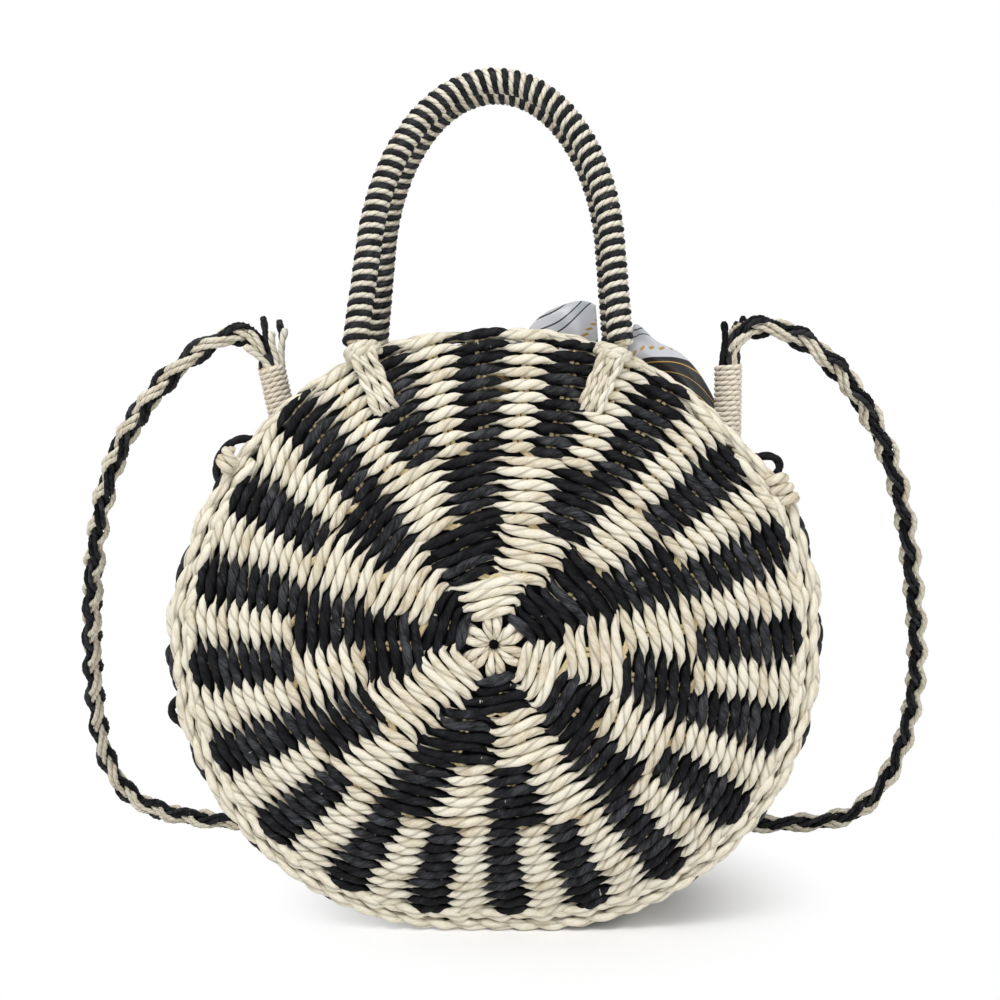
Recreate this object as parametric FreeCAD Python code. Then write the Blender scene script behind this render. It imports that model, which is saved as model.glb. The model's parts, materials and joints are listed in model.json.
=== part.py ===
import FreeCAD, Part
import math
import os

Vector = FreeCAD.Vector

# Driving dimensions in millimetres and degrees, +X to the right, front towards -Y, +Z up

# Woven body
panel_radius = 149.5        # outside of the rim over the upper half of the bag
base_flat = 36.0            # width of the flat that the bag stands on
bag_depth = 90.0            # between the middles of the front and back rims
panel_bulge = 24.0          # how far a panel swells past its rim
bulge_power = 2.5           # a higher power makes the middle flatter and the edge steeper
weave_thickness = 5.0
rim_thickness = 8.4
gusset_thickness = 5.0
gusset_taper = 36.0         # length over which each end of the gusset narrows
gusset_end_width = 18.0
fit_gap = 0.3

# Hub rosette
hub_radius = 13.6
hub_rise = 7.5              # hub above the middle of the outline
hub_thickness = 7.0
hub_proud = 2.0             # how far the hub stands out of the weave
hub_hole = 2.6              # radius of the eye in the middle
hub_loops = 12
hub_groove = 1.2            # radius of the grooves between the loops

# Lining and snap
lining_thickness = 0.8
snap_radius = 8.0
snap_thickness = 2.4
snap_boss_radius = 3.0
snap_boss_height = 1.6
snap_ring = 0.86            # place of the snap between hub (0) and rim (1)

# Handles
handle_span = 120.0         # between the two feet of a handle
handle_height = 121.0       # from the feet to the crown
handle_leg = 46.0           # straight part of each leg
handle_taper = 4.5          # how far a leg leans in over its straight part
handle_lean = 13.5          # both handles lean towards each other
core_radius = 2.4
cream_radius = 3.6          # outside of the cream winding
black_radius = 1.2          # the black cord
black_turns = 24
black_start = 13.0          # from the foot along the leg
foot_radius = 5.0           # knot at the foot of a leg

# Lashings
collar_radius = 7.5
collar_web = 3.0            # between the rim and the foot knot
collar_fillet = 2.0
tail_radius = 1.7
tail_pitch = 3.5
tail_cords = 3
tail_rings = (0.92, 0.83)   # where the tails turn down and go into the weave, between hub (0) and rim (1)

# Strap tabs: place round the rim from the top, clockwise, and lean from upright
tab_angles = {"left": -43.8, "right": 48.4}
tab_leans = {"left": -12.0, "right": 0.0}
tab_roots = {"left": 4.4, "right": 7.2}
twine_turns = {"left": 7, "right": 9}
tab_core_radius = 4.4
tab_head_radius = 6.9
tab_head_height = 3.5
tab_setback = 10.0          # how far the gusset runs on past a tab
twine_radius = 1.1
twine_gap = 0.5
end_radius = 1.6
end_spread = 0.72           # how far apart the cut ends stand, as a share of the tab's head
end_lean = 0.12             # slopes of the cut ends, away from the strap and apart
end_splay = 0.16
end_lengths = {"left": (17.0, 19.0, 15.0), "right": (17.0, 16.5, 19.5)}

# Shoulder strap, its route from the left tab to the right one
strap_radius = 4.5
strap_offset = 1.6          # from the middle of a tab, away from the cut ends
strap_rise = 7.0            # straight out of a tab
strap_route = (
    (-121.5, 0.0, 279.6), (-136.5, 1.0, 275.6), (-152.0, 4.0, 265.0), (-170.0, 10.0, 248.0),
    (-187.0, 22.0, 226.0), (-201.1, 40.0, 198.0), (-212.4, 64.0, 165.0), (-221.4, 90.0, 129.0),
    (-227.5, 113.0, 94.0), (-230.7, 132.0, 64.0), (-230.5, 143.5, 41.2), (-225.1, 149.0, 22.0),
    (-212.9, 147.5, 9.2), (-196.6, 139.5, 5.0), (-178.0, 128.0, 4.7), (-159.0, 120.0, 4.7),
    (-136.0, 119.5, 4.7), (-104.0, 126.0, 4.7), (-66.0, 135.0, 4.7), (-22.0, 140.0, 4.7),
    (24.0, 139.5, 4.7), (68.0, 133.5, 4.7), (105.0, 125.0, 4.7), (136.0, 118.5, 4.7),
    (160.0, 118.0, 4.7), (181.0, 122.0, 4.7), (199.0, 131.0, 5.0), (212.6, 140.5, 10.5),
    (223.8, 145.0, 22.5), (231.0, 142.5, 39.5), (233.5, 131.5, 60.0), (233.0, 114.0, 86.0),
    (228.0, 93.0, 117.0), (219.3, 70.0, 152.5), (209.0, 48.0, 190.0), (197.0, 31.0, 219.0),
    (183.0, 18.0, 242.0), (168.0, 9.0, 260.5), (153.5, 4.0, 272.9), (140.5, 1.5, 280.0),
    (130.5, 0.0, 282.4), (119.7, 0.0, 281.2),
)

# Scarf, tied through the back rim beside the right leg
scarf_thickness = 2.0
scarf_knot_radius = 8.0
knot_roundness = 0.92       # depth of the knot over its width
knot_turns = (-60, -30, 0, 30, 60)
scarf_knot_drop = 22.0      # below the foot of the handle
scarf_folds = 3
# Sections of the two loops: place from the knot (right, back, up), direction across, width and thickness
scarf_loops = (
    (((-5, -1, 4), (0.93, 0, 0.37), 11, 8), ((-14, -3, 13), (0.93, 0, 0.37), 26, 11),
     ((-19, -5, 23), (0.93, 0, 0.37), 35, 10), ((-21, -6, 33), (0.94, 0, 0.34), 34, 5)),
    (((5, -1, 0), (0.1, 0, 1), 11, 8), ((15, -3, 1), (0.1, 0, 1), 16, 9),
     ((21, -4, 5), (0.1, 0, 1), 25, 10), ((30, -5, 6), (0.35, 0, 0.94), 26, 10),
     ((44, -6, -5), (0.6, 0, 0.8), 25, 9), ((57, -7, -17), (0.7, 0, 0.71), 13, 4)),
)
# Sections of the two tails, with the depth of the folds in place of the thickness
scarf_tails = (
    (((-2, 3, -4), (1, 0, 0), 13, 1.5), ((-4, 6, -24), (1, 0, 0), 25, 2.6),
     ((-6, 8, -46), (1, 0, 0), 31, 2.2)),
    (((4, 2, -3), (0.85, 0, 0.53), 13, 1.5), ((22, 0, -20), (0.85, 0, 0.53), 24, 2.6),
     ((37, -1, -36), (0.85, 0, 0.53), 31, 2.2)),
)

# Sizes that follow from those above
rim_radius = rim_thickness / 2
flat_half = base_flat / 2
centre_z = panel_radius - flat_half
hub_z = centre_z + hub_rise
rim_y = bag_depth / 2
panel_edge = rim_thickness + fit_gap
hub_flat = 0.2
hub_seat = hub_radius + fit_gap + hub_flat
foot_rise = foot_radius + collar_web + rim_radius
foot_reach = panel_radius - rim_radius + foot_rise
foot_angle = math.asin(handle_span / 2 / foot_reach)
foot_z = centre_z + foot_reach * math.cos(foot_angle)
black_reach = cream_radius + fit_gap / 3 + black_radius
twine_reach = tab_core_radius + fit_gap / 3 + twine_radius
twine_pitch = 2 * twine_radius + twine_gap
ring_steps = (1.0, 0.92, 0.8, 0.62, 0.4, 0.2, 0.0)
root_half = math.sqrt(0.5)


# Outlines and tubes

def ring_wire(upper, flat, middle_z, y):
    """A closed outline: a half circle above, two quarter circles and a flat below."""
    lower = upper - flat

    def at(x, z):
        return Vector(x, y, middle_z + z)

    right, top, left = at(upper, 0), at(0, upper), at(-upper, 0)
    base_left, base_right = at(-flat, -lower), at(flat, -lower)
    edges = [
        Part.Arc(right, at(upper * root_half, upper * root_half), top),
        Part.Arc(top, at(-upper * root_half, upper * root_half), left),
        Part.Arc(left, at(-flat - lower * root_half, -lower * root_half), base_left),
        Part.LineSegment(base_left, base_right),
        Part.Arc(base_right, at(flat + lower * root_half, -lower * root_half), right),
    ]
    return Part.Wire([edge.toShape() for edge in edges])


def outline(inset, y):
    """The bag's outline, drawn in by inset."""
    return ring_wire(panel_radius - inset, flat_half, centre_z, y)


def ring_radius(ring, edge):
    return hub_seat + ring * (panel_radius - edge - hub_seat)


def dome_y(ring):
    """Middle of the front panel's weave at a ring between hub (0) and rim (1)."""
    return -rim_y - panel_bulge * (1 - ring ** bulge_power)


def dome_ring(ring, edge, shift):
    flat = ring * flat_half + (1 - ring) * hub_flat
    middle = hub_z + ring * (centre_z - hub_z)
    return ring_wire(ring_radius(ring, edge), flat, middle, dome_y(ring) + shift)


def dome_point(ring, angle, edge, shift):
    """A point of the upper half of the front dome, and its outward direction."""
    radius = ring_radius(ring, edge)
    middle = hub_z + ring * (centre_z - hub_z)
    point = Vector(radius * math.sin(angle), dome_y(ring) + shift, middle + radius * math.cos(angle))
    slope = panel_bulge * bulge_power * ring ** (bulge_power - 1) / (panel_radius - edge - hub_seat)
    normal = Vector(slope * math.sin(angle), -1, slope * math.cos(angle)).normalize()
    return point, normal


def closed_solid(faces):
    shell = Part.Shell(faces)
    shell.sewShape()
    solid = Part.Solid(shell)
    if solid.Volume < 0:
        solid.reverse()
    return solid


def dome_skin(shift, thickness, edge, open_hub):
    """A domed sheet from the rim to the hub, thickness measured along Y."""
    outer = [dome_ring(ring, edge, shift) for ring in ring_steps]
    inner = [dome_ring(ring, edge, shift + thickness) for ring in ring_steps]
    faces = Part.makeLoft(outer, False).Faces + Part.makeLoft(inner, False).Faces
    faces += Part.makeLoft([outer[0], inner[0]], False, True).Faces
    if open_hub:
        faces += Part.makeLoft([outer[-1], inner[-1]], False, True).Faces
    else:
        faces += [Part.Face(outer[-1]), Part.Face(inner[-1])]
    return closed_solid(faces)


def tube(edges, radius):
    """A round tube along edges that follow on from each other smoothly."""
    path = Part.Wire(edges)
    start = path.Edges[0]
    circle = Part.makeCircle(radius, start.valueAt(start.FirstParameter),
                             start.tangentAt(start.FirstParameter))
    return path.makePipeShell([Part.Wire(circle)], True, False)


def line(start, end):
    return Part.LineSegment(start, end).toShape()


def turn_arc(start, corner, end):
    """The arc that touches both legs of a corner, from start to end."""
    middle = (start + end) * 0.5
    rise = (corner - middle).Length
    half_chord = (end - start).Length / 2
    sagitta = half_chord * math.tan(math.atan2(rise, half_chord) / 2)
    return Part.Arc(start, middle + (corner - middle) * (sagitta / rise), end).toShape()


def rounded_path(points):
    """Straight runs joined by tangent arcs, each as large as its two runs allow, and the arcs' radii."""
    share = 0.45
    edges, radii = [], []
    reached = points[0]
    for before, corner, after in zip(points, points[1:], points[2:]):
        back, onward = (before - corner), (after - corner)
        reach = share * min(back.Length, onward.Length)
        half_turn = (math.pi - back.getAngle(onward)) / 2
        radii.append(reach / math.tan(half_turn))
        start = corner + back.normalize() * reach
        end = corner + onward.normalize() * reach
        edges += [line(reached, start), turn_arc(start, corner, end)]
        reached = end
    edges.append(line(reached, points[-1]))
    return edges, radii


def biarc(start, start_way, end, end_way):
    """Two arcs that leave start and reach end in the given directions."""
    chord = end - start
    ways = start_way + end_way
    spread = 2 * (1 - start_way.dot(end_way))
    along = chord.dot(ways)
    reach = (math.sqrt(along * along + spread * chord.dot(chord)) - along) / spread
    first, second = start + start_way * reach, end - end_way * reach
    middle = (first + second) * 0.5
    return [turn_arc(start, first, middle), turn_arc(middle, second, end)]


def winding(place, turns, radius, name):
    """One unbroken cord wound by place(angle), in quarter turns, with short straight ends."""
    quarters = round(turns * 4)
    small = 1e-4
    points, ways = [], []
    for step in range(quarters + 1):
        angle = step * math.pi / 2
        points.append(place(angle))
        ways.append((place(angle + small) - place(angle - small)).normalize())
    edges = [line(points[0] - ways[0] * 2 * radius, points[0])]
    for step in range(quarters):
        edges += biarc(points[step], ways[step], points[step + 1], ways[step + 1])
    edges.append(line(points[-1], points[-1] + ways[-1] * 2 * radius))
    per_turn = 16
    trail = [place(step * 2 * math.pi / per_turn) for step in range(round(turns * per_turn) + 1)]
    gaps = [(a - b).Length for i, a in enumerate(trail) for b in trail[i + per_turn * 3 // 4:]]
    print(name, "least gap to itself", round(min(gaps) - 2 * radius, 2))
    return tube(edges, radius)


def mirrored_front_to_back(shape):
    return shape.mirror(Vector(0, 0, 0), Vector(0, 1, 0))


def mirrored_left_to_right(shape):
    return shape.mirror(Vector(0, 0, 0), Vector(1, 0, 0))


# Woven body

def front_panel():
    return dome_skin(-weave_thickness / 2, weave_thickness, panel_edge, True)


def front_hub():
    """A rounded ring with grooves between its loops of cord."""
    front = dome_y(0) - weave_thickness / 2 - hub_proud
    edge = hub_thickness / 2
    inner, outer = hub_hole + edge, hub_radius - edge

    def at(radius, depth):
        return Vector(radius, front + depth, hub_z)

    profile = [
        line(at(inner, 0), at(outer, 0)),
        Part.Arc(at(outer, 0), at(hub_radius, edge), at(outer, hub_thickness)).toShape(),
        line(at(outer, hub_thickness), at(inner, hub_thickness)),
        Part.Arc(at(inner, hub_thickness), at(hub_hole, edge), at(inner, 0)).toShape(),
    ]
    axis_point, axis = Vector(0, front, hub_z), Vector(0, 1, 0)
    ring = Part.Face(Part.Wire(profile)).revolve(axis_point, axis, 360)
    grooves = []
    for loop in range(hub_loops):
        angle = 2 * math.pi * loop / hub_loops
        way = Vector(math.sin(angle), 0, math.cos(angle))
        grooves.append(Part.makeCylinder(hub_groove, hub_radius, axis_point + way * hub_hole, way))
    return ring.cut(grooves)


def front_rim():
    return tube(outline(rim_radius, -rim_y).Edges, rim_radius)


def end_frame(angle):
    """A point of the outline at an angle from the top, with its outward and onward directions."""
    out = Vector(math.sin(angle), 0, math.cos(angle))
    along = Vector(math.cos(angle), 0, -math.sin(angle))
    return Vector(0, 0, centre_z) + out * panel_radius, out, along


def gusset_angles():
    setback = tab_setback / panel_radius
    return math.radians(tab_angles["left"]) + setback, math.radians(tab_angles["right"]) - setback


def side_strip(outer_inset, inner_inset, half_width):
    """The strip round the sides and base between two insets, open at the mouth."""
    outer = Part.Face(outline(outer_inset, -half_width))
    band = outer.cut(Part.Face(outline(inner_inset, -half_width)))
    strip = band.extrude(Vector(0, 2 * half_width, 0))
    far = 2 * panel_radius
    middle = Vector(0, -half_width, centre_z)
    left, right = gusset_angles()
    corners = [middle]
    for angle in (left, left / 2, 0, right / 2, right):
        corners.append(middle + Vector(math.sin(angle), 0, math.cos(angle)) * far)
    mouth = Part.Face(Part.makePolygon(corners + [middle])).extrude(Vector(0, 2 * half_width, 0))
    return strip.cut(mouth)


def tapered(strip, half_width):
    """The strip with both ends narrowed towards the strap tabs."""
    wedges = []
    for angle, way in zip(gusset_angles(), (-1, 1)):
        end, out, along = end_frame(angle)
        onward = along * way * gusset_taper
        for side in (-1, 1):
            narrow = Vector(0, side * gusset_end_width / 2, 0)
            wide = Vector(0, side * half_width, 0)
            beyond = Vector(0, side * 2 * half_width, 0)
            corners = [end - onward + narrow, end + narrow, end + onward + wide,
                       end + onward + beyond, end - onward + beyond]
            corners = [corner - out * gusset_taper for corner in corners]
            face = Part.Face(Part.makePolygon(corners + corners[:1]))
            wedges.append(face.extrude(out * 2 * gusset_taper))
    return strip.cut(wedges)


def gusset():
    half_width = rim_y - rim_radius - fit_gap
    return tapered(side_strip(0, gusset_thickness, half_width), half_width)


# Lining and snap

lining_shift = weave_thickness / 2 + fit_gap
lining_edge = panel_edge + lining_thickness + fit_gap


def front_lining():
    return dome_skin(lining_shift, lining_thickness, lining_edge, False)


def side_lining():
    half_width = rim_y - lining_shift
    return tapered(side_strip(panel_edge, panel_edge + lining_thickness, half_width), half_width)


def snap_disc():
    """The front half's plate, its middle on the lining's inner face, and the way it faces."""
    point, out = dome_point(snap_ring, 0, lining_edge, lining_shift + lining_thickness)
    way = out * -1
    base = point + way * 2 * fit_gap
    plate = Part.makeCylinder(snap_radius, snap_thickness, base, way)
    rounded = plate.makeFillet(snap_thickness / 3, [plate.Edges[0]])
    return rounded, base, way


def snap_socket():
    plate, base, way = snap_disc()
    bore = Part.makeCylinder(snap_boss_radius + fit_gap, snap_boss_height,
                             base + way * (snap_thickness - snap_boss_height), way)
    return plate.cut(bore)


def snap_stud():
    plate, base, way = snap_disc()
    boss = Part.makeCylinder(snap_boss_radius, snap_boss_height, base + way * snap_thickness, way)
    return mirrored_front_to_back(plate.fuse(boss).removeSplitter())


# Handles

def handle_place(across, height):
    """A point in the plane of the leaning front handle."""
    lean = math.radians(handle_lean)
    return Vector(across, -rim_y + height * math.sin(lean), foot_z + height * math.cos(lean))


def handle_path():
    """The arch from the right foot over the crown to the left foot."""
    half = handle_span / 2
    knee = half - handle_taper
    right = [handle_place(half, 0), handle_place(knee, handle_leg)]
    left = [handle_place(-knee, handle_leg), handle_place(-half, 0)]
    crown = handle_place(0, handle_height)
    over = Vector(-1, 0, 0)
    up = (right[1] - right[0]).normalize()
    down = (left[1] - left[0]).normalize()
    arch = biarc(right[1], up, crown, over) + biarc(crown, over, left[0], down)
    return [line(*right)] + arch + [line(*left)]


def foot_points():
    return handle_place(handle_span / 2, 0), handle_place(-handle_span / 2, 0)


def handle_core():
    feet = [Part.makeSphere(foot_radius, foot) for foot in foot_points()]
    return tube(handle_path(), core_radius).fuse(feet)


def handle_cream_wrap():
    sleeve = tube(handle_path(), cream_radius).cut(tube(handle_path(), core_radius + fit_gap / 3))
    return sleeve.cut([Part.makeSphere(foot_radius + fit_gap / 2, foot) for foot in foot_points()])


def handle_black_wrap():
    edges = handle_path()
    total = sum(edge.Length for edge in edges)
    wound = total - 2 * black_start
    normal = handle_place(0, 1) - handle_place(0, 0)
    normal = normal.cross(Vector(1, 0, 0)).normalize()

    def place(angle):
        reach = black_start + wound * angle / (2 * math.pi * black_turns)
        for edge in edges:
            if reach <= edge.Length or edge is edges[-1]:
                break
            reach -= edge.Length
        spot = edge.getParameterByLength(reach)
        side = edge.tangentAt(spot).cross(normal)
        return edge.valueAt(spot) + (normal * math.cos(angle) + side * math.sin(angle)) * black_reach

    return winding(place, black_turns, black_radius, "handle winding")


# Lashings

def front_right_lashing():
    """The collar on the rim under a foot, and the tails that run down the panel."""
    foot = foot_points()[0]
    out = Vector(math.sin(foot_angle), 0, math.cos(foot_angle))
    along = Vector(math.cos(foot_angle), 0, -math.sin(foot_angle))
    front = Vector(0, -1, 0)
    top = cream_radius + 2 * fit_gap
    collar = Part.makeCylinder(collar_radius, foot_rise - top, foot - out * foot_rise, out)
    collar = collar.makeFillet(collar_fillet, collar.Edges[:1])
    stand_off = tail_radius + fit_gap
    rim_front = foot - out * foot_rise + front * (rim_radius + stand_off)
    over_edge, edge_normal = dome_point(tail_rings[0], foot_angle, panel_edge, -weave_thickness / 2)
    end, end_normal = dome_point(tail_rings[1], foot_angle, panel_edge, -weave_thickness / 2)
    inside = foot - out * (foot_rise - rim_radius - collar_web / 2) + front * collar_radius / 2
    route = [inside, rim_front + out * rim_radius / 2, over_edge + edge_normal * stand_off,
             end + end_normal * stand_off]
    cords = []
    for cord in range(tail_cords):
        aside = along * tail_pitch * (cord - (tail_cords - 1) / 2)
        cords.append(tube(rounded_path([point + aside for point in route])[0], tail_radius))
    rim_room = tube(outline(rim_radius, -rim_y).Edges, rim_radius + fit_gap / 2)
    foot_room = Part.makeSphere(foot_radius + fit_gap, foot)
    return collar.fuse(cords).cut([rim_room, foot_room])


# Strap tabs

def tab_frame(side):
    base, _, _ = end_frame(math.radians(tab_angles[side]))
    lean = math.radians(tab_leans[side])
    up = Vector(math.sin(lean), 0, math.cos(lean))
    away = Vector(math.cos(lean), 0, -math.sin(lean)) * (-1 if side == "left" else 1)
    height = tab_roots[side] + twine_turns[side] * twine_pitch + 2 * twine_radius + tab_head_height
    return base, up, away, base + up * height


def tab(side):
    base, up, _, top = tab_frame(side)
    inset = 2 * tab_core_radius
    core = Part.makeCylinder(tab_core_radius, (top - base).Length - tab_head_height + inset,
                             base - up * inset, up)
    head = Part.makeCone(tab_core_radius, tab_head_radius, tab_head_height, top - up * tab_head_height, up)
    room = Part.Face(outline(-fit_gap / 2, -bag_depth / 2)).extrude(Vector(0, bag_depth, 0))
    return core.fuse(head).removeSplitter().cut(room)


def tab_binding(side):
    base, up, away, _ = tab_frame(side)
    across = up.cross(away)
    start = base + up * (tab_roots[side] + twine_radius)

    def place(angle):
        turn = away * math.cos(angle) + across * math.sin(angle)
        return start + up * (twine_pitch * angle / (2 * math.pi)) + turn * twine_reach

    return winding(place, twine_turns[side], twine_radius, side + " tab binding")


def tab_ends(side):
    """Three cut cord ends that stand out of the tab beside the strap."""
    _, up, away, top = tab_frame(side)
    across = Vector(0, 1, 0)
    inner = tab_head_radius - end_radius
    spread = strap_radius + end_radius + fit_gap
    cords = []
    for row, length in zip((-1, 0, 1), end_lengths[side]):
        sideways = across * row * inner * end_spread
        back = away * -math.sqrt(max(inner ** 2 - sideways.Length ** 2, 0))
        foot = top + sideways + back
        gap = (foot - top - away * strap_offset).Length - spread
        way = (up - away * (end_lean + max(-gap, 0)) + across * row * end_splay).normalize()
        cord = Part.makeCylinder(end_radius, length + end_radius, foot - way * end_radius, way)
        room = Part.makeCylinder(tab_head_radius * 2, length, top, up * -1)
        cords.append(cord.cut(room))
    return Part.makeCompound(cords)


# Strap

def shoulder_strap():
    points = []
    for side in ("left", "right"):
        _, up, away, top = tab_frame(side)
        exit_point = top + away * strap_offset
        points.append([exit_point, exit_point + up * strap_rise])
    route = points[0] + [Vector(*point) for point in strap_route] + points[1][::-1]
    edges, radii = rounded_path(route)
    length = sum(edge.Length for edge in edges)
    strap = tube(edges, strap_radius)
    print("strap length", round(length, 1), "volume over section times length",
          round(strap.Volume / (math.pi * strap_radius ** 2 * length), 4))
    print("strap radii", [round(radius, 1) for radius in radii])
    print("strap ends", [tuple(round(value, 2) for value in point) for pair in points for point in pair])
    return strap


# Scarf

def lens(middle, across, through, width, thickness):
    """A leaf-shaped section of two arcs."""
    left, right = middle - across * (width / 2), middle + across * (width / 2)
    front = Part.Arc(left, middle + through * (thickness / 2), right).toShape()
    back = Part.Arc(right, middle - through * (thickness / 2), left).toShape()
    return Part.Wire([front, back])


def folded(middle, across, through, width, depth):
    """A section of cloth in alternate folds, thin along through."""
    step = width / scarf_folds
    rows = []
    for lift in (0, scarf_thickness):
        arcs = []
        for fold in range(scarf_folds):
            start = middle + across * (fold * step - width / 2) + through * lift
            crest = start + across * (step / 2) + through * (depth * (1 if fold % 2 else -1))
            arcs.append(Part.Arc(start, crest, start + across * step).toShape())
        rows.append(arcs)
    ends = [(arcs[0].valueAt(arcs[0].FirstParameter), arcs[-1].valueAt(arcs[-1].LastParameter))
            for arcs in rows]
    return Part.Wire(Part.__sortEdges__(rows[0] + rows[1] + [line(ends[0][0], ends[1][0]),
                                                             line(ends[0][1], ends[1][1])]))


def scarf():
    """A knot behind the rim, a loop on each side of the handle's leg and two hanging tails."""
    foot = mirrored_front_to_back(Part.Vertex(foot_points()[0])).Point
    out = Vector(math.sin(foot_angle), 0, math.cos(foot_angle))
    back = Vector(0, 1, 0)
    tail, tail_normal = dome_point(tail_rings[0], foot_angle, panel_edge, -weave_thickness / 2)
    over_tail = -tail.y - tail_normal.y * 2 * (tail_radius + fit_gap)
    knot = foot - out * scarf_knot_drop
    knot.y = over_tail + scarf_knot_radius * knot_roundness
    along = Vector(math.cos(foot_angle), 0, -math.sin(foot_angle))
    knot_sections = []
    for turn in knot_turns:
        swell = 2 * scarf_knot_radius * math.cos(math.radians(turn))
        middle = knot + along * (scarf_knot_radius * math.sin(math.radians(turn)))
        knot_sections.append(lens(middle, out, back, swell, swell * knot_roundness))

    def cloth(section, stations):
        return Part.makeLoft([section(knot + Vector(*place), Vector(*across), back, width, depth)
                              for place, across, width, depth in stations], True)

    pieces = [cloth(lens, loop) for loop in scarf_loops] + [cloth(folded, tail) for tail in scarf_tails]
    return Part.makeLoft(knot_sections, True).fuse(pieces)


# Write each piece

os.makedirs("parts", exist_ok=True)
shapes = {
    "front_panel": front_panel(),
    "front_hub": front_hub(),
    "front_rim": front_rim(),
    "gusset": gusset(),
    "lining_front": front_lining(),
    "lining_side": side_lining(),
    "snap_socket": snap_socket(),
    "snap_stud": snap_stud(),
    "front_handle_core": handle_core(),
    "front_handle_cream_wrap": handle_cream_wrap(),
    "front_handle_black_wrap": handle_black_wrap(),
    "front_right_lashing": front_right_lashing(),
    "shoulder_strap": shoulder_strap(),
    "scarf": scarf(),
}
shapes["front_left_lashing"] = mirrored_left_to_right(shapes["front_right_lashing"])
for front_name in [name for name in shapes if name.startswith("front_")]:
    shapes[front_name.replace("front", "back")] = mirrored_front_to_back(shapes[front_name])
shapes["lining_back"] = mirrored_front_to_back(shapes["lining_front"])
for side_name in ("left", "right"):
    shapes[side_name + "_tab"] = tab(side_name)
    shapes[side_name + "_tab_binding"] = tab_binding(side_name)
    shapes[side_name + "_tab_ends"] = tab_ends(side_name)
for node, shape in shapes.items():
    print(node, "valid", shape.isValid(), "solids", len(shape.Solids), "volume", round(shape.Volume))
    shape.exportStep("parts/" + node + ".step")
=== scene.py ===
import json
import math

import bmesh
import bpy
import numpy as np
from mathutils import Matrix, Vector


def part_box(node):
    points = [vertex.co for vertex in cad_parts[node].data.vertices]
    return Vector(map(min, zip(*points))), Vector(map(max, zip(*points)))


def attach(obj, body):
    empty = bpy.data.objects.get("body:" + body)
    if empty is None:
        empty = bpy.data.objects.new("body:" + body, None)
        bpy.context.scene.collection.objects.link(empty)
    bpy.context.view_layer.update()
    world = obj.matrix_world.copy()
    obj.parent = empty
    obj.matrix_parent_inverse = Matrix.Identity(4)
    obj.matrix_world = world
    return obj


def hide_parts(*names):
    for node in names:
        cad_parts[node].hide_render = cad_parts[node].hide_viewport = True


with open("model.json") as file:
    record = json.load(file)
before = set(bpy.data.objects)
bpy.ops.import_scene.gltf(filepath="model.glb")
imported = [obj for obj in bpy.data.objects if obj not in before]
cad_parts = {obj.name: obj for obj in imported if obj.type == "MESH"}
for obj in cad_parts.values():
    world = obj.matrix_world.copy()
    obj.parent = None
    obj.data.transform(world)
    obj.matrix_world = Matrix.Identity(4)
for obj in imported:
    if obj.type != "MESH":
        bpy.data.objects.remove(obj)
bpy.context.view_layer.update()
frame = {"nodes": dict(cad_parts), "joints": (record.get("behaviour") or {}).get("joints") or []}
rng = np.random.default_rng(11)

# Lengths are in millimetres until a mesh is made, angles are clockwise from the top seen from the front
mm = 0.001
floor_gap = 0.05
tau = 2 * math.pi
forward = np.array([0.0, -1.0, 0.0])

# Body, read from the frame
rim_low, rim_high = (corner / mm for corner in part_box("front_rim"))
panel_low, panel_high = (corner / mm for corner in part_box("front_panel"))
hub_low, hub_high = (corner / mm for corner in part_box("front_hub"))
outline_radius = rim_high.x
centre_z = rim_high.z - outline_radius
flat_half = outline_radius - centre_z
rim_y = -(rim_low.y + rim_high.y) / 2
rim_thickness = rim_high.y - rim_low.y
panel_edge = panel_high.x
weave_half = 2.5
panel_bulge = -panel_low.y - rim_y - weave_half
bulge_power = 2.5
hub_z = (hub_low.z + hub_high.z) / 2
hub_gap = 0.5
hub_seat = hub_high.x + hub_gap
# Where the outline stands out of its circle: angle, spread and how far
outline_swells = ((62.0, 8.0, 4.8), (77.0, 8.0, 2.2), (-83.0, 5.0, 2.0))
mouth_ends = (-54.0, 53.0)  # angles of the knots that end the mouth
mouth_blend = 16.0          # degrees from a knot to where the mouth has its full shape


# Surfaces of the body

def outline_reach(angle, radius, flat):
    """From the middle to an outline of a half circle above and two quarter circles and a flat below."""
    side, down = np.abs(np.sin(angle)), -np.cos(angle)
    lower = radius - flat
    straight = lower / np.maximum(down, 1e-6)
    bent = flat * side + np.sqrt(np.maximum(lower ** 2 - (flat * down) ** 2, 0))
    below = np.where(straight * side < flat, straight, bent)
    return np.where(down <= 0, radius, below)


def from_top(angle):
    """An angle in degrees, from -180 to 180."""
    return np.degrees((angle + math.pi) % tau - math.pi)


def hump(angle, place, spread):
    """1 at a place on the outline, falling to 0 on both sides of it."""
    return np.exp(-((from_top(angle) - place) / spread) ** 2)


def eased(share, whole=1):
    return whole * share * share * (3 - 2 * share)


def mouth(angle):
    """How much of the mouth an angle is in, from 0 below its knots to 1."""
    turn = from_top(angle)
    left, right = mouth_ends
    return eased(np.clip(np.minimum(turn - left, right - turn) / mouth_blend, 0, 1))


def swell(angle):
    """How far the front outline stands out of its circle at an angle."""
    return sum(height * hump(angle, place, spread) for place, spread, height in outline_swells)


def dome(ring, angle):
    """A point of the front panel's middle surface, ring 0 at the hub and 1 at the rim."""
    ring, angle = np.broadcast_arrays(np.asarray(ring, float), np.asarray(angle, float))
    radius = hub_seat + ring * (panel_edge - hub_seat)
    reach = outline_reach(angle, radius, ring * flat_half) + swell(angle) * np.abs(ring) ** 3
    middle = hub_z + ring * (centre_z - hub_z)
    depth = rim_y + panel_bulge * (1 - np.abs(ring) ** bulge_power)
    return np.stack([reach * np.sin(angle), -depth, middle + reach * np.cos(angle)], -1)


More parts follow.
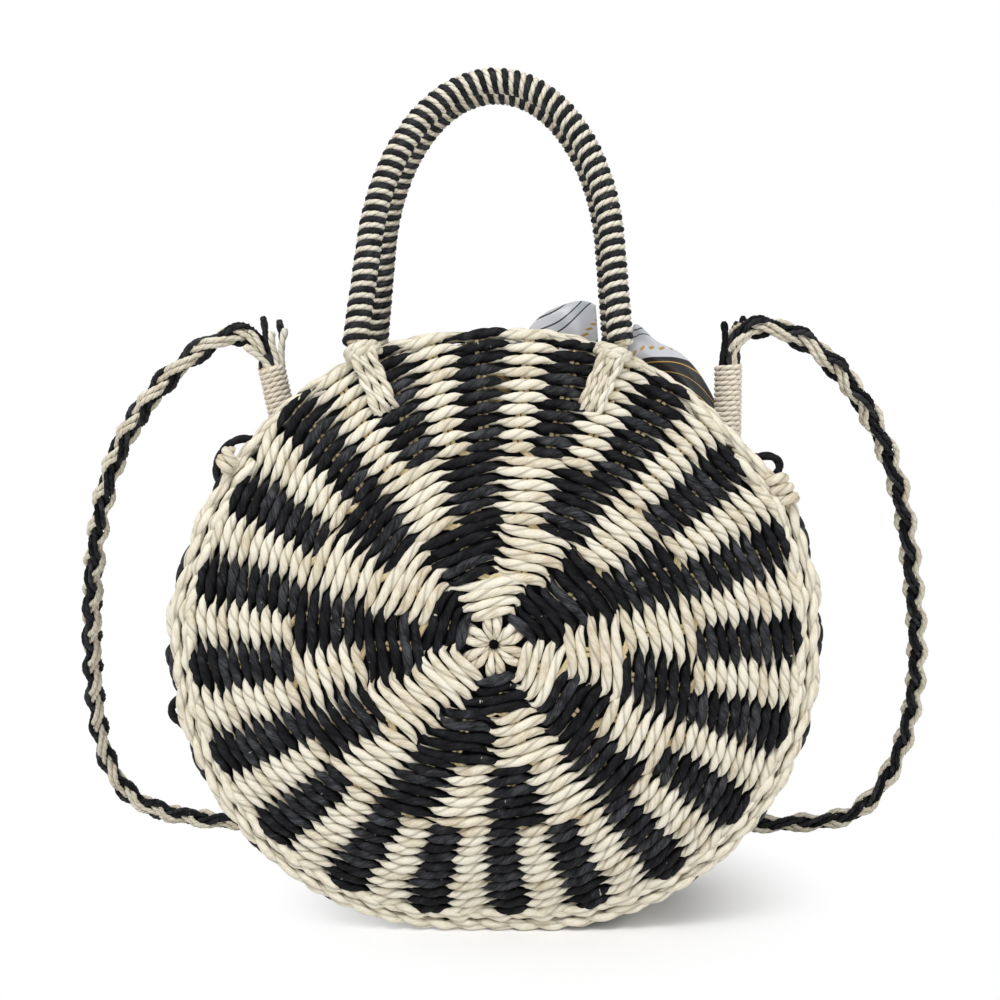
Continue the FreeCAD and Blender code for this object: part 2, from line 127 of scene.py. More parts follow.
def unit(vectors):
    return vectors / np.linalg.norm(vectors, axis=-1, keepdims=True)


def on_dome(ring, angle, lift):
    """The same point lifted out of the surface."""
    small = 1e-3
    outward = dome(np.add(ring, small), angle) - dome(np.subtract(ring, small), angle)
    onward = dome(ring, np.add(angle, small)) - dome(ring, np.subtract(angle, small))
    normal = unit(np.cross(outward, onward))
    normal = normal * -np.sign(normal[..., 1:2])
    return dome(ring, angle) + normal * np.asarray(lift)[..., None]


def edge(angle, inset, y):
    """A point of the side of the bag, drawn in from the outline by inset."""
    angle, inset, y = np.broadcast_arrays(np.asarray(angle, float), inset, y)
    reach = outline_reach(angle, outline_radius - inset, flat_half)
    front = 0.5 - y / (2 * rim_y)
    reach = reach + swell(angle) * front + swell(-angle) * (1 - front)
    return np.stack([reach * np.sin(angle), y, centre_z + reach * np.cos(angle)], -1)


def ring_of(radius):
    return (radius - hub_seat) / (panel_edge - hub_seat)


def out_and_along(angle):
    """Away from the middle of the bag at an angle, and clockwise along its outline."""
    out = np.array([math.sin(angle), 0, math.cos(angle)])
    return out, np.array([math.cos(angle), 0, -math.sin(angle)])


def turning(first, second, turn):
    """Directions that turn from the first towards the second."""
    return first * np.cos(turn)[:, None] + second * np.sin(turn)[:, None]


def through(stations, places):
    """Values at places between stations, each a place and its value."""
    return np.interp(places, *zip(*stations))


def turned(points):
    """The back of the bag is the front turned half round."""
    return points * np.array([-1.0, -1.0, 1.0])


def back_of(runs):
    return [{**cord, "points": turned(cord["points"])} for cord in runs]


def mirrored(runs):
    return [{**cord, "points": cord["points"] * np.array([-1.0, 1.0, 1.0])} for cord in runs]


both_faces = {"front": list, "back": back_of}


# Cords

ply_length = 38.0           # one turn of the two plies in a cord
short_ply = 14.0            # and in a cord that is wound or bent tightly
groove_sharp = 10           # the higher, the narrower the groove between the plies
lay_shift = 500.0           # how far the material's pattern is shifted from cord to cord, at most
fine_step = 1.2             # between the points of a short cord


def varied(spread):
    """A factor that differs from cord to cord."""
    return 1 - spread / 2 + spread * rng.random()


def link(thing):
    bpy.context.scene.collection.objects.link(thing)
    return thing


def cord_section(sides, groove):
    """The section of a cord of two plies, one millimetre in radius, with a groove on each side."""
    curve = bpy.data.curves.new("cord_section", "CURVE")
    curve.dimensions = "2D"
    spline = curve.splines.new("POLY")
    spline.points.add(sides - 1)
    for index, point in enumerate(spline.points):
        angle = tau * index / sides
        reach = mm * (1 - groove * abs(math.sin(angle)) ** groove_sharp)
        point.co = (reach * math.cos(angle), reach * math.sin(angle), 0, 1)
    spline.use_cyclic_u = True
    section = link(bpy.data.objects.new("cord_section", curve))
    section.hide_render = True
    return section


def length_along(points):
    steps = np.linalg.norm(np.diff(points, axis=0), axis=1)
    return np.concatenate([[0.0], np.cumsum(steps)])


def run(points, radius, closed=False, ply=ply_length, hand=-1):
    """One cord's path with its radius, kept above the floor, and how its plies turn along it."""
    along = length_along(points)
    radius = np.broadcast_to(np.asarray(radius, float), along.shape)
    points = np.stack([points[:, 0], points[:, 1], np.maximum(points[:, 2], radius + floor_gap)], -1)
    turns = hand * along / ply
    if closed:
        whole = along[-1] + np.linalg.norm(points[0] - points[-1])
        turns = along / whole * round(hand * whole / ply)
    tilt = tau * (turns + rng.random())
    return {"points": points, "radius": radius, "tilt": tilt, "along": along, "closed": closed}


def placed(piece, body, replaced=()):
    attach(link(piece), body)
    if replaced:
        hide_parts(*replaced)
    return piece


def finished(mesh, material):
    mesh.materials.clear()
    mesh.materials.append(material)
    mesh.polygons.foreach_set("use_smooth", np.ones(len(mesh.polygons), bool))


def cords(name, runs, material, body="bag", sides=12, groove=0.26, replaced=()):
    """Cords as one mesh, with each point's place along and round its cord kept for the material."""
    section = cord_section(sides, groove)
    curve = bpy.data.curves.new(name, "CURVE")
    curve.dimensions = "3D"
    curve.bevel_mode = "OBJECT"
    curve.bevel_object = section
    curve.use_fill_caps = True
    around = tau * np.arange(sides) / sides
    caps, tubes = [], []
    for cord in runs:
        count = len(cord["points"])
        spline = curve.splines.new("POLY")
        spline.points.add(count - 1)
        spline.points.foreach_set("co", np.c_[cord["points"] * mm, np.ones(count)].ravel())
        spline.points.foreach_set("radius", cord["radius"])
        spline.points.foreach_set("tilt", cord["tilt"])
        spline.use_cyclic_u = cord["closed"]
        lay = np.empty((count, sides, 4), np.float32)
        lay[..., 0] = (cord["along"] + lay_shift * rng.random())[:, None]
        lay[..., 1] = np.cos(around)
        lay[..., 2] = np.sin(around)
        lay[..., 3] = rng.random()
        tubes.append(lay)
        if not cord["closed"]:
            caps = [lay[-1:], lay[:1], *caps]
    holder = link(bpy.data.objects.new(name + "_path", curve))
    evaluated = holder.evaluated_get(bpy.context.evaluated_depsgraph_get())
    mesh = bpy.data.meshes.new_from_object(evaluated)
    bpy.data.objects.remove(holder)
    bpy.data.objects.remove(section)
    lay = np.concatenate([part.reshape(-1, 4) for part in caps + tubes])
    vectors = np.ascontiguousarray(lay[:, :3])
    tints = np.ascontiguousarray(lay[:, 3])
    mesh.attributes.new("lay", "FLOAT_VECTOR", "POINT").data.foreach_set("vector", vectors.ravel())
    mesh.attributes.new("tint", "FLOAT", "POINT").data.foreach_set("value", tints)
    finished(mesh, material)
    mesh.name = name
    return placed(bpy.data.objects.new(name, mesh), body, replaced)


# Materials

def joined(tree, made, sockets):
    """Give each socket of a node a value, or join it to another node's output."""
    for socket, value in sockets.items():
        if isinstance(value, bpy.types.NodeSocket):
            tree.links.new(value, made.inputs[socket])
        else:
            made.inputs[socket].default_value = value
    return made


def node(tree, kind, sockets=None, **options):
    made = tree.nodes.new("ShaderNode" + kind)
    for option, value in options.items():
        setattr(made, option, value)
    return joined(tree, made, sockets or {})


def shader(name, roughness):
    material = bpy.data.materials.new(name)
    material.use_nodes = True
    tree = material.node_tree
    return material, tree, joined(tree, tree.nodes["Principled BSDF"], {"Roughness": roughness})


def maths(tree, operation, *values):
    return node(tree, "Math", dict(enumerate(values)), operation=operation).outputs["Value"]


def noise(tree, place, scale, detail=2.0, roughness=0.5):
    sockets = {"Vector": place, "Scale": scale, "Detail": detail, "Roughness": roughness}
    return node(tree, "TexNoise", sockets).outputs["Fac"]


def ramp(tree, value, stops, interpolation="LINEAR"):
    made = node(tree, "ValToRGB", {"Fac": value})
    made.color_ramp.interpolation = interpolation
    elements = made.color_ramp.elements
    while len(elements) < len(stops):
        elements.new(0.5)
    for element, (place, colour) in zip(elements, stops):
        element.position = place
        element.color = (*colour, 1)
    return made.outputs["Color"]


def laid_over(tree, factor, ground, colour):
    """A plain colour over the ground, as much as factor says."""
    sockets = {"Factor": factor, "A": ground, "B": (*colour, 1)}
    return node(tree, "Mix", sockets, data_type="RGBA").outputs["Result"]


def bump(tree, height, strength, distance):
    sockets = {"Height": height, "Strength": strength, "Distance": distance}
    return node(tree, "Bump", sockets).outputs["Normal"]


# Straw: what the fibres, patches and each cord's tint add to its tone, where flecks are, and the painted
# shade that darkens its grooves
fibre_stretch = (0.2, 3.2, 3.2)
fibre_share, patch_share, tint_share = 0.55, 0.35, 0.16
tint_start = -0.03
middle_tone = 0.52
fleck_ends = (0.79, 0.82)
# Painted shade in the grooves: where it starts round the cord, how far it covers at most, and its tone as a
# share of the dark colour
groove_shade_start, groove_shade_cover, groove_shade_tone = 0.88, 0.5, 0.3


def straw(name, dark, middle, pale, roughness, gloss, spread=0.22, fleck=None):
    """Paper straw: fibres along the plies, painted shade in the grooves between them, a tint for each cord
    and, on black, flecks.
    """
    material, tree, surface = shader(name, roughness)
    lay = node(tree, "Attribute", attribute_name="lay").outputs["Vector"]
    tint = node(tree, "Attribute", attribute_name="tint").outputs["Fac"]
    stretched = node(tree, "Mapping", {"Vector": lay, "Scale": fibre_stretch}).outputs["Vector"]
    fibre = noise(tree, stretched, 1.6, detail=4.0, roughness=0.6)
    patch = noise(tree, lay, 0.12)
    tone = maths(tree, "MULTIPLY_ADD", tint, tint_share, tint_start)
    tone = maths(tree, "MULTIPLY_ADD", patch, patch_share, tone)
    tone = maths(tree, "MULTIPLY_ADD", fibre, fibre_share, tone)
    stops = ((middle_tone - spread, dark), (middle_tone, middle), (middle_tone + spread, pale))
    shown = ramp(tree, tone, stops)
    if fleck:
        bare, full = fleck_ends
        rare = ramp(tree, noise(tree, lay, 0.55, detail=1.0), ((bare, (0, 0, 0)), (full, (1, 1, 1))))
        shown = laid_over(tree, rare, shown, fleck)
    # Painted shade: the colour is darkened towards the groove on each side of a cord, whatever light falls
    # there
    around = maths(tree, "ABSOLUTE", node(tree, "SeparateXYZ", {"Vector": lay}).outputs["Z"])
    between = node(tree, "MapRange", {"Value": around, "From Min": groove_shade_start, "To Max": groove_shade_cover})
    painted_groove_shade = tuple(value * groove_shade_tone for value in dark)
    shown = laid_over(tree, between.outputs["Result"], shown, painted_groove_shade)
    normal = bump(tree, fibre, 0.8, 0.0006)
    joined(tree, surface, {"Base Color": shown, "Normal": normal, "Specular IOR Level": gloss})
    return material


cream_straw = straw("cream_straw", (0.50, 0.41, 0.26), (0.80, 0.745, 0.605), (0.90, 0.87, 0.77), 0.55, 0.4)
black_straw = straw("black_straw", (0.002, 0.002, 0.003), (0.013, 0.0135, 0.0155), (0.075, 0.078, 0.086),
                    0.5, 0.12, spread=0.13, fleck=(0.42, 0.41, 0.36))
spoke_straw = straw("spoke_straw", (0.42, 0.31, 0.14), (0.68, 0.56, 0.33), (0.85, 0.76, 0.55), 0.6, 0.3)
twine_straw = straw("twine_straw", (0.60, 0.48, 0.33), (0.86, 0.77, 0.62), (0.94, 0.88, 0.77), 0.6, 0.3)
two_straws = {"black": black_straw, "cream": cream_straw}


# Camera

photo_pixels = 1000
focal_pixels = 1664
camera_place = (11.1, -805.1, 267.0)
camera_pitch = 4.87
camera_yaw = 0.65

camera_data = bpy.data.cameras.new("camera")
camera_data.sensor_width = 36
camera_data.lens = focal_pixels / photo_pixels * camera_data.sensor_width
camera = link(bpy.data.objects.new("camera", camera_data))
camera.location = [value * mm for value in camera_place]
camera.rotation_euler = (math.radians(90 - camera_pitch), 0, math.radians(camera_yaw))
bpy.context.scene.camera = camera


# Strap tabs

tabs = {
    "left": {"angle": -43.8, "lean": -12.0, "height": 29.0, "turns": 11, "away": -1},
    "right": {"angle": 48.4, "lean": 0.0, "height": 37.2, "turns": 14, "away": 1},
}
strap_offset = 1.6
strap_rise = 7.0


def tab_frame(side):
    """The foot of a tab on the outline, and the directions up it and away from the bag's middle."""
    tab = tabs[side]
    up, right = out_and_along(math.radians(tab["lean"]))
    return edge(math.radians(tab["angle"]), 0, 0), up, right * tab["away"]


def tab_exit(side):
    base, up, away = tab_frame(side)
    return base + up * tabs[side]["height"] + away * strap_offset


# Shoulder strap: the route from the left tab to the right one, then four strands braided along it

strap_turn = 46.0           # along the strap, for one strand to go round it
strand_reach = 3.0
strand_weave = 1.5
strand_linger = 0.6         # how much slower a strand goes round where it is on top
strand_ply = 9.0
strap_cord_radius = 1.5
strap_cord_apart = 1.4
strap_core_radius = 1.7     # of the cord inside the braid
strap_sunk = 5.0            # how far the strands go down into a tab's twine
strap_neck = ((strap_sunk, 0.6), (20.0, 1))     # from each end, and how wide the braid is there
strap_roll = (              # along the strap, and how far it is turned there, in degrees
    (30, 70), (90, 110), (170, 150), (232, 190), (365, 240), (430, 300), (745, 315),
    (860, 288), (960, 300), (1060, 315), (1140, 410),
)
strap_step = 1.7
strap_middle = (
    (-121.5, 0.0, 279.6), (-136.5, 1.0, 275.6), (-152.0, 4.0, 265.0), (-170.0, 10.0, 248.0),
    (-187.0, 22.0, 226.0), (-201.1, 40.0, 198.0), (-212.4, 64.0, 165.0), (-221.4, 90.0, 129.0),
    (-227.5, 113.0, 94.0), (-230.7, 132.0, 64.0), (-230.5, 143.5, 41.2), (-225.1, 149.0, 22.0),
    (-212.9, 147.5, 9.2), (-196.6, 139.5, 5.0), (-178.0, 128.0, 4.7), (-159.0, 120.0, 4.7),
    (-136.0, 119.5, 4.7), (-104.0, 126.0, 4.7), (-66.0, 135.0, 4.7), (-22.0, 140.0, 4.7),
    (24.0, 139.5, 4.7), (68.0, 133.5, 4.7), (105.0, 125.0, 4.7), (136.0, 118.5, 4.7),
    (160.0, 118.0, 4.7), (181.0, 122.0, 4.7), (199.0, 131.0, 5.0), (212.6, 140.5, 10.5),
    (223.8, 145.0, 22.5), (231.0, 142.5, 39.5), (233.5, 131.5, 60.0), (233.0, 114.0, 86.0),
    (228.0, 93.0, 117.0), (219.3, 70.0, 152.5), (209.0, 48.0, 190.0), (197.0, 31.0, 219.0),
    (183.0, 18.0, 242.0), (168.0, 9.0, 260.5), (153.5, 4.0, 272.9), (140.5, 1.5, 280.0),
    (130.5, 0.0, 282.4), (119.7, 0.0, 281.2),
)


def new_route(kind, count, resolution):
    """A curve with one spline of so many points."""
    curve = bpy.data.curves.new("route", "CURVE")
    curve.dimensions = "3D"
    curve.resolution_u = resolution
    spline = curve.splines.new(kind)
    points = spline.bezier_points if kind == "BEZIER" else spline.points
    points.add(count - 1)
    return curve, spline


def read_line(curve):
    """The points of a curve with no bevel, in millimetres."""
    holder = bpy.data.objects.new("route", curve)
    mesh = bpy.data.meshes.new_from_object(holder)
    points = np.array([vert.co for vert in mesh.vertices]) / mm
    bpy.data.objects.remove(holder)
    bpy.data.meshes.remove(mesh)
    return points


def nurbs_line(points):
    """A smooth line with these points as its control points."""
    curve, spline = new_route("NURBS", len(points), 16)
    for point, place in zip(spline.points, points):
        point.co = (*(value * mm for value in place), 1)
    spline.order_u = 3
    spline.use_endpoint_u = True
    return read_line(curve)


def evenly(points, step):
    along = length_along(points)
    wanted = np.linspace(0, along[-1], int(round(along[-1] / step)) + 1)
    return np.stack([np.interp(wanted, along, points[:, axis]) for axis in range(3)], -1)


def past_ends(line, steps):
    """A line carried straight on past both its ends, by each of these steps."""
    steps = np.asarray(steps)[:, None]
    left, right = (line[end] - unit(line[near] - line[end]) * steps for end, near in ((0, 1), (-1, -2)))
    return np.concatenate([left, line, right[::-1]])


def carried_frames(points, first):
    """Two directions square to a line, carried along it without twist."""
    ways = unit(np.gradient(points, axis=0))
    side = np.array(first, float)
    sides = []
    for way in ways:
        side = side - way * side.dot(way)
        side = side / np.linalg.norm(side)
        sides.append(side)
    sides = np.array(sides)
    return sides, np.cross(ways, sides)


def strap_line():
    ends = {}
    for side in tabs:
        up = tab_frame(side)[1]
        ends[side] = [tab_exit(side), tab_exit(side) + up * strap_rise]
    return evenly(nurbs_line([*ends["left"], *strap_middle, *ends["right"][::-1]]), strap_step)


def braid(line, colour):
    """Two strands of two cords that go round the strap, black one way and cream the other."""
    line = past_ends(line, np.linspace(strap_sunk, 1, 4))
    front, side = carried_frames(line, forward)
    along = length_along(line)
    hand = 1 if colour == "black" else -1
    roll = np.radians(through(strap_roll, along))
    narrow = through(strap_neck, np.minimum(along, along[-1] - along))
    runs = []
    for start in (0, math.pi):
        turn = start - hand * tau * along / strap_turn
        weave = strand_weave * np.cos(2 * turn) * hand
        turn = turn - hand * strand_linger / 2 * np.sin(2 * turn) + roll
        reach = (narrow * (strand_reach + weave))[:, None]
        for beside in (-strap_cord_apart, strap_cord_apart):
            path = line + turning(front, side, turn) * reach + turning(side, -front, turn) * beside
            runs.append(run(path, strap_cord_radius, ply=strand_ply))
    return runs


strap_points = strap_line()
strap_black = cords("strap_black_strands", braid(strap_points, "black"), black_straw, sides=8,
                    replaced=["shoulder_strap"])
strap_cream = cords("strap_cream_strands", braid(strap_points, "cream"), cream_straw, sides=8)
strap_core = cords("strap_core", [run(strap_points, strap_core_radius)], black_straw, sides=6)
tab_exit("left") * mm


# Twined panels: where each zone starts and ends from the hub, its rows, its spokes and a black stitch's angle

zones = (
    (12.8, 31.6, 4, 6, 56.0),
    (31.6, 58.0, 5, 10, 55.8),
    (58.0, 90.5, 6, 20, -7.2),
    (90.5, 141.0, 10, 40, -2.7),
)
zone_sway = (1.5, 1.6, 1.2, 0.9)        # a strand's swing along the spokes, which slants the stitches
zone_tuck = (1.0, 0.7, 0.3, 0.3)        # how far a strand goes behind the other past their crossing
zone_blunt = (0.4, 0.45, 0.55, 0.6)     # the lower, the blunter the ends of the stitches
zone_ply = (36.0, 32.0, 22.0, 18.0)     # one turn of the two plies in a strand
zone_spoke_lift = (0.3, 0.3, -0.3, -0.6)
tuck_pace = 4.0             # how quickly a strand goes behind the other
hub_row_lift = 1.4          # how much further the first row stands out, over the loops of the hub
stitch_straight = 0.8       # how far a row keeps to straight lines between its spokes
mouth_stretch = 0.068       # how far the rows of the last zone spread over the rim at the mouth
weft_lift = 1.2             # a strand's swing out of and into the weave
weft_front = 2.6            # a strand's radius in front of a spoke
weft_cross = 1.05           # where two strands cross
weft_back = 1.6             # and behind a spoke
weft_step = 1.6
weft_wander = 0.6           # how far stitches stray along their row, an angle times the number of spokes
weft_full_pitch = 5.0       # pitch of the rows from which a strand has its whole radius
weft_vary = 0.06
spoke_radius = 1.15
spoke_apart = 1.25          # half the distance between a pair of spoke cords
spoke_overlap = 1.5         # how far a spoke starts inside its zone
spoke_short = 0.7           # of a row, left free at the end of its zone
spoke_bend = 1.3            # rows over which it comes from the spoke inside to its own place
# Loops of the hub: distance from the eye and lift there, then distance and cord radius
hub_lift = ((2.9, -2.5), (3.5, 0.2), (4.6, 1.7), (6.8, 2.5),
            (9.0, 2.6), (11.0, 1.7), (12.9, -0.5), (15.0, -2.6))
hub_radius = ((2.9, 0.9), (3.6, 1.1), (6.0, 1.65), (8.6, 2.25), (12.0, 2.35), (15.0, 2.2))
hub_fan = 0.262             # half the angle between two loops
hub_close = 0.98            # how close a pair of loops lies, 1 where they touch
hub_ply = 16.0
hub_vary = 0.08


def weft_strand(front, blunt):
    """A strand's lift and radius, from front 1 before a spoke to -1 behind it."""
    before = np.maximum(front, 0) ** blunt
    behind = np.maximum(-front, 0)
    radius = weft_cross + (weft_front - weft_cross) * before + (weft_back - weft_cross) * behind
    return weft_lift * np.sign(front) * np.abs(front) ** blunt, radius


def row_ring(radius, angle):
    """The ring of a row that is radius from the hub at the sides, spread over the rim at the mouth."""
    start, end = zones[-1][:2]
    outer = max(0.0, (radius - start) / (end - start))
    return ring_of(radius) + mouth_stretch * outer * mouth(angle)


def weft_rows(colour):
    """Every row's strand of one colour on the front panel."""
    runs = []
    length = panel_edge - hub_seat
    stitches = zip(zones, zone_sway, zone_tuck, zone_blunt, zone_ply)
    for (start, end, rows, spokes, black_at), sway, tuck, blunt, ply in stitches:
        for row in range(rows):
            radius = start + (row + 0.5) * (end - start) / rows
            count = int(tau * radius / weft_step)
            step = tau / spokes
            behind = math.radians(black_at) + (step if colour == "black" else 0)
            angle = behind + tau * np.arange(count) / count
            aside = (angle - math.radians(black_at) + step / 2) % step - step / 2
            bent = radius * stitch_straight * (1 / np.cos(aside) - 1)
            wander = weft_wander / spokes * np.sin(angle * 3 + tau * rng.random())
            phase = (angle - math.radians(black_at) + wander) * spokes / 2
            if colour == "cream":
                phase = phase + math.pi
            front = np.cos(phase)
            slant = sway * np.sin(phase) * (1 - tuck + tuck * np.tanh(tuck_pace * front))
            ring = row_ring(radius, angle) + (bent + slant) / length
            lift, thick = weft_strand(front, blunt)
            if start == zones[0][0] and row == 0:
                lift = lift + hub_row_lift
            plump = min(1.0, (end - start) / rows / weft_full_pitch) ** 0.5 * varied(weft_vary)
            runs.append(run(on_dome(ring, angle, lift), thick * plump, closed=True, ply=ply))
    return runs


def spoke_runs():
    """Pairs of cords for the spokes of each zone, each starting from the nearest spoke of the zone inside."""
    runs = []
    inner = None
    for (start, end, rows, spokes, black_at), lift in zip(zones, zone_spoke_lift):
        last = start + (rows - spoke_short) * (end - start) / rows
        places = [black_at + 360 / spokes * spoke for spoke in range(spokes)]
        for place in places:
            origin = place
            if inner:
                origin = min(inner, key=lambda other: abs((other - place + 180) % 360 - 180))
                origin = place + (origin - place + 180) % 360 - 180
            share = np.linspace(0, 1, 4 * rows + 2)
            radius = start - spoke_overlap + share * (last - start + spoke_overlap)
            bend = eased(np.clip(share * rows / spoke_bend, 0, 1), place - origin)
            angle = np.radians(origin + bend)
            for aside in (-spoke_apart, spoke_apart):
                ring = np.array([row_ring(*pair) for pair in zip(radius, angle)])
                path = on_dome(ring, angle + aside / radius, np.full(share.shape, lift))
                runs.append(run(path, spoke_radius))
        inner = places
    return runs


def hub_runs():
    """Pairs of loops from the eye over the middle to the first row."""
    reach = np.linspace(hub_lift[0][0], hub_lift[-1][0], 34)
    radius = through(hub_radius, reach)
    depth = dome(0.0, 0.0)[1] - through(hub_lift, reach)
    spokes, black_at = zones[0][3:]
    runs = []
    for spoke in range(spokes):
        out, beside = out_and_along(math.radians(black_at + 360 / spokes * spoke))
        for side in (-1, 1):
            apart = side * np.minimum(radius * hub_close, reach * hub_fan)
            path = out * reach[:, None] + beside * apart[:, None]
            path = path + np.stack([0 * depth, depth, 0 * depth + hub_z], -1)
            runs.append(run(path, radius * varied(hub_vary), ply=hub_ply))
    return runs


for side, place in both_faces.items():
    cords(side + "_black_weft", place(weft_rows("black")), black_straw,
          replaced=[side + "_panel"])
    cords(side + "_cream_weft", place(weft_rows("cream")), cream_straw)
    cords(side + "_spokes", place(spoke_runs()), spoke_straw, sides=6, groove=0.0)
    cords(side + "_hub_loops", place(hub_runs()), cream_straw, groove=0.2,
          replaced=[side + "_hub"])


# Rims: an inner row on the spokes below the mouth, and an outer row of longer stitches all round

rim_front, rim_cross, rim_back = 2.5, 1.4, 1.6
rim_blunt = 0.7
rim_sway = 1.1
rim_lift = 1.2
rim_step = 1.5
# An uneven row shows a long stitch of one strand and a short bump of the other
inner_row = {"inset": 8.2, "y": 46.2, "stitches": 80, "uneven": 0.55}
outer_row = {"inset": 2.75, "y": 44.4, "stitches": 66, "uneven": 0.0}
inner_row_past = 0.05       # angle by which the inner row goes past the knots
mouth_set_back = 2.5        # how far the outer row goes back at the mouth
mouth_rise = 1.6            # and up
mouth_thin = 0.25           # how much thinner it is there
mouth_dip = (-3.4, 6.5)     # angle and spread of the black stitches that lie above it
mouth_dip_depth = 3.6


def rim_strands(row, angle, closed):
    runs = []
    for start, uneven in ((0, row["uneven"]), (math.pi, -row["uneven"])):
        phase = angle * row["stitches"] / 2 + start
        front = np.clip(np.cos(phase) + uneven, -1, 1)
        radius = rim_cross + (rim_front - rim_cross) * np.maximum(front, 0) ** rim_blunt
        radius = radius + (rim_back - rim_cross) * np.maximum(-front, 0)
        radius = radius * (1 - mouth_thin * mouth(angle))
        dip = mouth_dip_depth * hump(angle, *mouth_dip)
        y = -row["y"] - rim_lift * front + mouth_set_back * mouth(angle) + dip
        inset = row["inset"] - mouth_rise * mouth(angle) + rim_sway * np.sin(phase) + dip
        runs.append(run(edge(angle, inset, y), radius, closed=closed))
    return runs


def rim_runs():
    count = int(tau * outline_radius / rim_step)
    runs = rim_strands(outer_row, tau * np.arange(count) / count, True)
    left, right = (math.radians(value) for value in mouth_ends)
    angle = np.linspace(right - inner_row_past, left + inner_row_past + tau, count)
    return runs + rim_strands(inner_row, angle, False)


# Knots at the ends of a mouth: angle, inset, turns, cord radius
rim_knots = ((-54.0, -1.4, 2, 2.3), (59.8, 2.4, 3, 2.6))
knot_reach = 3.1
knot_forward = 1.6


def knot_runs():
    """A cord wound a few times round the outer row at each end of the mouth."""
    runs = []
    for place, inset, turns, radius in rim_knots:
        angle = math.radians(place)
        middle = edge(angle, inset, -rim_y - knot_forward)
        out, along = out_and_along(angle)
        turn = np.linspace(-0.5 * tau, (turns - 0.5) * tau, 24 * turns)
        onward = 2 * radius * (turn / tau - (turns - 1) / 2)
        path = middle + turning(forward, out, turn) * knot_reach + along * onward[:, None]
        runs.append(run(path, radius, ply=short_ply))
    return runs


# Loose loops of the black strands outside the front rim: angle and distance out of the outline
rim_loops = (
    ((-48.6, -1.0), (-49.6, 3.6), (-52.4, 6.6), (-55.0, 6.2), (-57.2, 3.6), (-58.4, -0.5)),
    ((53.0, -1.0), (53.8, 3.2), (55.0, 5.6), (56.4, 5.2), (57.4, 2.0), (58.0, -3.0)),
    ((-89.0, -1.0), (-89.8, 1.6), (-91.0, 2.2), (-92.4, 1.4), (-93.2, -1.0)),
    ((-98.6, -1.0), (-99.4, 3.2), (-101.0, 5.2), (-102.8, 3.0), (-104.4, -1.0)),
)
rim_loop_back = 4.5         # behind the middle of the rim
rim_loop_radius = 2.0


def loop_runs():
    runs = []
    for loop in rim_loops:
        angle, out = np.array(loop).T
        line = nurbs_line(edge(np.radians(angle), -out, -rim_y + rim_loop_back))
        runs.append(run(evenly(line, fine_step), rim_loop_radius, ply=short_ply))
    return runs


for side, place in both_faces.items():
    cords(side + "_rim_rows", place(rim_runs() + knot_runs()), cream_straw,
          replaced=[side + "_rim"])
cords("front_rim_loops", loop_runs(), black_straw)


# Gusset

gusset_rows = 18
gusset_pitch = 5.0
gusset_row_half = 2.0
gusset_inset = 3.9
gusset_swell = 2.2          # how far the rows stand out further at the sides than at the base
gusset_half = 43.0
gusset_end_half = 9.0
gusset_taper = 36.0
gusset_setback = 10.0
gusset_spokes = 40
gusset_black_at = -2.7
gusset_spoke_radius = 1.6
edging_lift = 1.0
edging_reach = 1.2          # from the middle of the edging to each of its two cords
edging_radius = 1.7
edging_turns = 2


def gusset_end(y):
    """How far along the bag, past each end of the gusset, a row at y starts."""
    outside = (abs(y) + gusset_row_half - gusset_end_half) / (gusset_half - gusset_end_half)
    return max(0.0, outside) * gusset_taper


def gusset_span(y):
    setback = gusset_setback - gusset_end(y)
    left = math.radians(tabs["left"]["angle"]) + setback / outline_radius
    right = math.radians(tabs["right"]["angle"]) - setback / outline_radius
    return right, left + tau


def gusset_runs(colour):
    runs = []
    for row in range(gusset_rows):
        y = (row - (gusset_rows - 1) / 2) * gusset_pitch
        right, left = gusset_span(y)
        count = int((left - right) * outline_radius / weft_step)
        angle = np.linspace(right, left, count)
        phase = (angle - math.radians(gusset_black_at)) * gusset_spokes / 2
        if colour == "cream":
            phase = phase + math.pi
        lift, thick = weft_strand(np.cos(phase), zone_blunt[-1])
        inset = gusset_inset - gusset_swell * np.sin(angle) ** 2 - lift
        path = edge(angle, inset, y + zone_sway[-1] * np.sin(phase))
        runs.append(run(path, thick, ply=zone_ply[-1]))
    return runs


def gusset_spoke_runs():
    runs = []
    for spoke in range(gusset_spokes):
        angle = math.radians(gusset_black_at + 360 / gusset_spokes * spoke)
        y = np.linspace(-gusset_half, gusset_half, 34)
        spans = [gusset_span(value) for value in y]
        inside = np.array([right <= angle % tau <= left for right, left in spans])
        if inside.sum() > 3:
            runs.append(run(edge(angle, gusset_inset, y[inside]), gusset_spoke_radius))
    return runs


def gusset_edge_runs():
    """Twisted cream cords along the narrowing ends, from the rims to the tabs."""
    runs = []
    share = np.linspace(0, 1, 34)
    setback = gusset_setback - gusset_taper * share
    for tab in tabs.values():
        angle = math.radians(tab["angle"]) - tab["away"] * setback / outline_radius
        for face in (-1, 1):
            y = face * (gusset_end_half + share * (gusset_half - gusset_end_half))
            for start in (0, math.pi):
                phase = share * tau * edging_turns + start
                inset = gusset_inset - edging_lift - edging_reach * np.cos(phase)
                runs.append(run(edge(angle, inset, y + edging_reach * np.sin(phase)), edging_radius))
    return runs


cords("gusset_black_weft", gusset_runs("black"), black_straw, replaced=["gusset"])
cords("gusset_cream_weft", gusset_runs("cream"), cream_straw)
cords("gusset_spokes", gusset_spoke_runs(), spoke_straw, sides=6, groove=0.0)
cords("gusset_edging", gusset_edge_runs(), cream_straw)


# Handles

